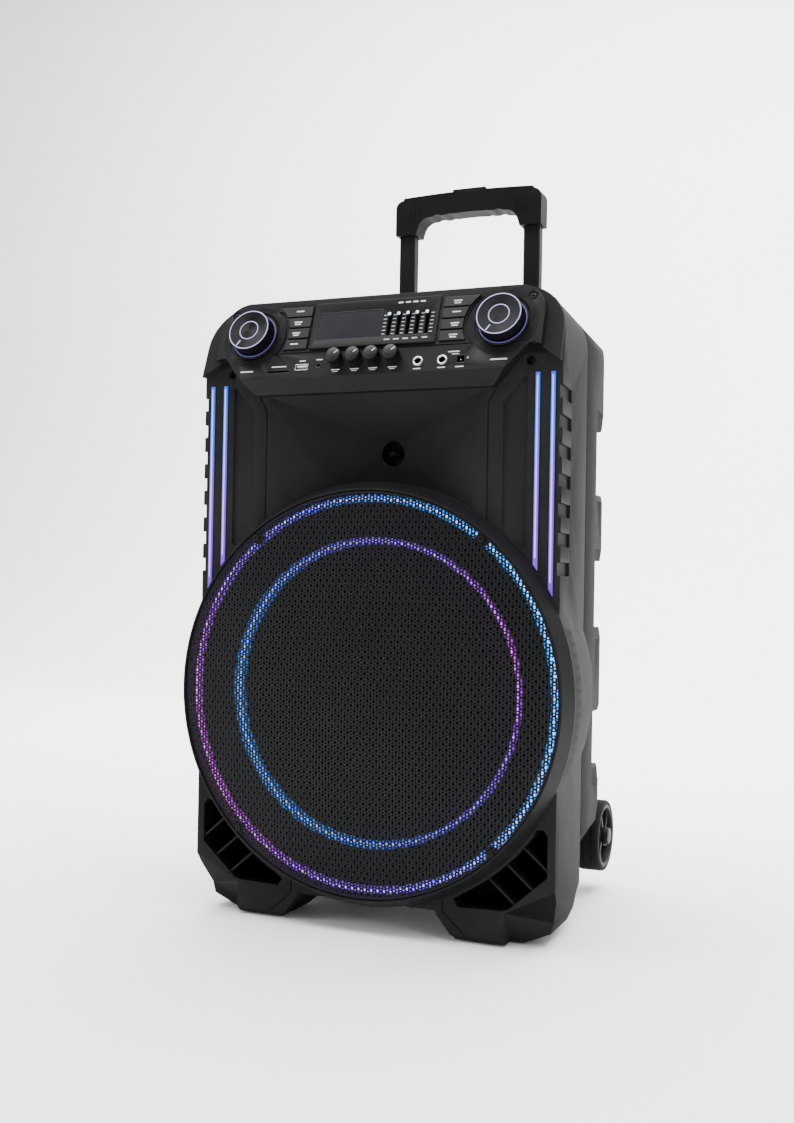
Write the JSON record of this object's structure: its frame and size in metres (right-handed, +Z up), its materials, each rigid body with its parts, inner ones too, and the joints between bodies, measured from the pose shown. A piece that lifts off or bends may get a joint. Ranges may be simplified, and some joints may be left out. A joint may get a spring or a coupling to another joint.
{
  "type": "party speaker",
  "caption": "Tall trolley loudspeaker with a round lit woofer grille, horn tweeter, tilted control panel, telescopic handle and rear wheels.",
  "frame": {"origin": "middle of the footprint of the whole object's box, on the floor that the rubber feet stand on", "axes": "+Z up, the grille faces -Y, +X is to the viewer's right when facing the grille"},
  "size_m": [0.426, 0.3423, 0.8275],
  "materials": {
    "cabinet_plastic": "fine textured black",
    "panel_plastic": "fine textured black, slightly lighter",
    "display_lens": "polished dark tint",
    "grille_steel": "black powder coat",
    "trim_plastic": "satin black",
    "light_guide": "frosted translucent, lit",
    "basket_steel": "black paint",
    "cone_paper": "pressed fibre",
    "surround_rubber": "matt",
    "magnet_ferrite": "dull grey",
    "driver_metal": "satin black with a bright plug",
    "knob_metal": "dark anodised, spun face, knurled side",
    "slider_cap": "frosted, lit",
    "button_plastic": "satin black",
    "socket_metal": "nickel plated",
    "socket_plastic": "black",
    "circuit_board": "green solder mask",
    "battery_wrap": "dark wrap",
    "grip_plastic": "moulded black",
    "tube_steel": "satin black",
    "axle_steel": "plated",
    "hub_plastic": "moulded black",
    "tyre": "matt",
    "foot_rubber": "matt",
    "screw_steel": "black oxide"
  },
  "bodies": {
    "cabinet": {"front_baffle": "cabinet_plastic", "rear_shell": "cabinet_plastic", "corner_trims": "cabinet_plastic", "control_panel": "panel_plastic", "display_plate": "panel_plastic", "display_window": "display_lens", "grille": "grille_steel", "grille_bezel": "trim_plastic", "light_ring_outer": "light_guide", "light_ring_inner": "light_guide", "light_bars": "light_guide", "vent_louvres": "trim_plastic", "woofer_basket": "basket_steel", "woofer_cone": "cone_paper", "woofer_surround": "surround_rubber", "woofer_dust_cap": "cone_paper", "woofer_magnet": "magnet_ferrite", "tweeter_driver": "driver_metal", "knob_light_rings": "light_guide", "jack_sockets": "socket_metal", "dc_socket": "socket_plastic", "usb_socket": "socket_metal", "card_slot": "socket_plastic", "aux_socket": "socket_plastic", "control_board": "circuit_board", "amplifier_board": "circuit_board", "battery_pack": "battery_wrap", "handle_guides": "trim_plastic", "axle": "axle_steel", "rubber_feet": "foot_rubber", "panel_screws": "screw_steel", "grille_screws": "screw_steel", "woofer_screws": "screw_steel", "shell_screws": "screw_steel"},
    "mic_knob": {"mic_knob": "knob_metal"},
    "volume_knob": {"volume_knob": "knob_metal"},
    "small_knob_1": {"small_knob_1": "knob_metal"},
    "small_knob_2": {"small_knob_2": "knob_metal"},
    "small_knob_3": {"small_knob_3": "knob_metal"},
    "small_knob_4": {"small_knob_4": "knob_metal"},
    "eq_slider_1": {"eq_slider_1": "slider_cap"},
    "eq_slider_2": {"eq_slider_2": "slider_cap"},
    "eq_slider_3": {"eq_slider_3": "slider_cap"},
    "eq_slider_4": {"eq_slider_4": "slider_cap"},
    "eq_slider_5": {"eq_slider_5": "slider_cap"},
    "button_left_1": {"button_left_1": "button_plastic"},
    "button_left_2": {"button_left_2": "button_plastic"},
    "button_left_3": {"button_left_3": "button_plastic"},
    "button_left_4": {"button_left_4": "button_plastic"},
    "button_right_1": {"button_right_1": "button_plastic"},
    "button_right_2": {"button_right_2": "button_plastic"},
    "button_right_3": {"button_right_3": "button_plastic"},
    "button_right_4": {"button_right_4": "button_plastic"},
    "handle": {"handle_grip": "grip_plastic", "handle_tubes": "tube_steel"},
    "handle_release": {"handle_release": "grip_plastic"},
    "wheel_left": {"hub_left": "hub_plastic", "tyre_left": "tyre"},
    "wheel_right": {"hub_right": "hub_plastic", "tyre_right": "tyre"}
  },
  "joints": [
    {"name": "mic_knob_turn", "type": "hinge", "parent": "cabinet", "child": "mic_knob", "pos_m": [-0.136, -0.14631, 0.60383], "axis": [0, 0.9379, -0.3469], "range_deg": [0, 300]},
    {"name": "volume_knob_turn", "type": "hinge", "parent": "cabinet", "child": "volume_knob", "pos_m": [0.136, -0.14631, 0.60383], "axis": [0, 0.9379, -0.3469], "range_deg": [0, 300]},
    {"name": "small_knob_1_turn", "type": "hinge", "parent": "cabinet", "child": "small_knob_1", "pos_m": [-0.035, -0.15776, 0.57288], "axis": [0, 0.9379, -0.3469], "range_deg": [-150, 150]},
    {"name": "small_knob_2_turn", "type": "hinge", "parent": "cabinet", "child": "small_knob_2", "pos_m": [-0.014, -0.15776, 0.57288], "axis": [0, 0.9379, -0.3469], "range_deg": [-150, 150]},
    {"name": "small_knob_3_turn", "type": "hinge", "parent": "cabinet", "child": "small_knob_3", "pos_m": [0.006, -0.15776, 0.57288], "axis": [0, 0.9379, -0.3469], "range_deg": [-150, 150]},
    {"name": "small_knob_4_turn", "type": "hinge", "parent": "cabinet", "child": "small_knob_4", "pos_m": [0.027, -0.15776, 0.57288], "axis": [0, 0.9379, -0.3469], "range_deg": [-150, 150]},
    {"name": "eq_slider_1_travel", "type": "slide", "parent": "cabinet", "child": "eq_slider_1", "axis": [0, 0.3469, 0.9379], "range_m": [-0.02, 0]},
    {"name": "eq_slider_2_travel", "type": "slide", "parent": "cabinet", "child": "eq_slider_2", "axis": [0, 0.3469, 0.9379], "range_m": [-0.02, 0]},
    {"name": "eq_slider_3_travel", "type": "slide", "parent": "cabinet", "child": "eq_slider_3", "axis": [0, 0.3469, 0.9379], "range_m": [-0.02, 0]},
    {"name": "eq_slider_4_travel", "type": "slide", "parent": "cabinet", "child": "eq_slider_4", "axis": [0, 0.3469, 0.9379], "range_m": [-0.02, 0]},
    {"name": "eq_slider_5_travel", "type": "slide", "parent": "cabinet", "child": "eq_slider_5", "axis": [0, 0.3469, 0.9379], "range_m": [-0.02, 0]},
    {"name": "button_left_1_press", "type": "slide", "parent": "cabinet", "child": "button_left_1", "axis": [0, 0.9379, -0.3469], "range_m": [0, 0.001], "stiffness_N_per_m": 400, "springref_m": -0.0005},
    {"name": "button_left_2_press", "type": "slide", "parent": "cabinet", "child": "button_left_2", "axis": [0, 0.9379, -0.3469], "range_m": [0, 0.001], "stiffness_N_per_m": 400, "springref_m": -0.0005},
    {"name": "button_left_3_press", "type": "slide", "parent": "cabinet", "child": "button_left_3", "axis": [0, 0.9379, -0.3469], "range_m": [0, 0.001], "stiffness_N_per_m": 400, "springref_m": -0.0005},
    {"name": "button_left_4_press", "type": "slide", "parent": "cabinet", "child": "button_left_4", "axis": [0, 0.9379, -0.3469], "range_m": [0, 0.001], "stiffness_N_per_m": 400, "springref_m": -0.0005},
    {"name": "button_right_1_press", "type": "slide", "parent": "cabinet", "child": "button_right_1", "axis": [0, 0.9379, -0.3469], "range_m": [0, 0.001], "stiffness_N_per_m": 400, "springref_m": -0.0005},
    {"name": "button_right_2_press", "type": "slide", "parent": "cabinet", "child": "button_right_2", "axis": [0, 0.9379, -0.3469], "range_m": [0, 0.001], "stiffness_N_per_m": 400, "springref_m": -0.0005},
    {"name": "button_right_3_press", "type": "slide", "parent": "cabinet", "child": "button_right_3", "axis": [0, 0.9379, -0.3469], "range_m": [0, 0.001], "stiffness_N_per_m": 400, "springref_m": -0.0005},
    {"name": "button_right_4_press", "type": "slide", "parent": "cabinet", "child": "button_right_4", "axis": [0, 0.9379, -0.3469], "range_m": [0, 0.001], "stiffness_N_per_m": 400, "springref_m": -0.0005},
    {"name": "handle_slide", "type": "slide", "parent": "cabinet", "child": "handle", "axis": [0, 0, 1], "range_m": [-0.166, 0.15]},
    {"name": "handle_release_press", "type": "slide", "parent": "handle", "child": "handle_release", "axis": [0, 0, -1], "range_m": [0, 0.003], "stiffness_N_per_m": 600, "springref_m": -0.001},
    {"name": "wheel_left_spin", "type": "hinge", "parent": "cabinet", "child": "wheel_left", "pos_m": [-0.1665, 0.13, 0.063], "axis": [1, 0, 0], "continuous": true},
    {"name": "wheel_right_spin", "type": "hinge", "parent": "cabinet", "child": "wheel_right", "pos_m": [0.1665, 0.13, 0.063], "axis": [1, 0, 0], "continuous": true}
  ]
}
